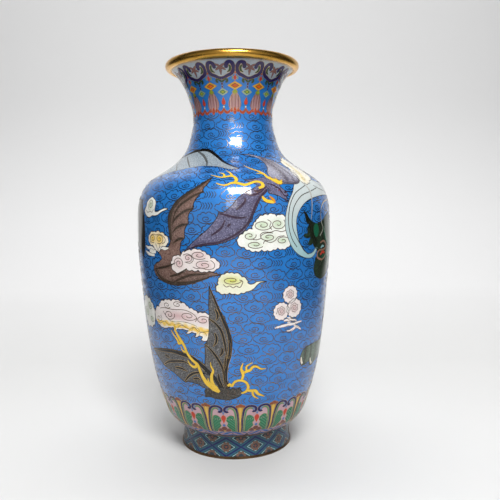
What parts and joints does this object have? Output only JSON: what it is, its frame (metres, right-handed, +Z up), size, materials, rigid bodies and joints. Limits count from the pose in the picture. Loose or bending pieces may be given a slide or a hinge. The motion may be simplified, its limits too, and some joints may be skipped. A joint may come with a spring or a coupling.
{
  "type": "cloisonne vase",
  "caption": "Tall baluster cloisonne vase with a flared mouth, enamelled copper body, gilt brass rims and a ring foot, for flowers or display.",
  "frame": {"origin": "centre of the foot's resting face", "axes": "+Z up along the vase's axis; the side shown in the picture faces -Y"},
  "size_m": [0.1922, 0.1922, 0.38],
  "materials": {
    "gilt_brass": "gilt, polished, tarnished in the hollows",
    "copper": "bare copper sheet under the enamel",
    "solder": "hard solder",
    "wire": "drawn copper strip, worn flush and darkened",
    "blue_enamel": "opaque fired enamel, ground and polished",
    "band_enamel": "opaque fired enamel in many colours",
    "counter_enamel": "plain fired enamel, left unpolished"
  },
  "bodies": {
    "root": {"mouth_rim": "gilt_brass", "neck_shell": "copper", "shoulder_shell": "copper", "body_shell": "copper", "base_plate": "copper", "foot_shell": "copper", "foot_rim": "gilt_brass", "neck_seam": "solder", "belly_seam": "solder", "plate_seam": "solder", "foot_seam": "solder", "mouth_wire": "wire", "crease_wire": "wire", "foot_wire": "wire", "ruyi_band": "band_enamel", "tassel_band": "band_enamel", "neck_ground": "blue_enamel", "shoulder_ground": "blue_enamel", "body_ground": "blue_enamel", "lappet_band": "band_enamel", "fringe_band": "band_enamel", "foot_band": "band_enamel", "neck_lining": "counter_enamel", "shoulder_lining": "counter_enamel", "body_lining": "counter_enamel", "floor_lining": "counter_enamel", "base_lining": "counter_enamel", "foot_lining": "counter_enamel"}
  },
  "joints": []
}
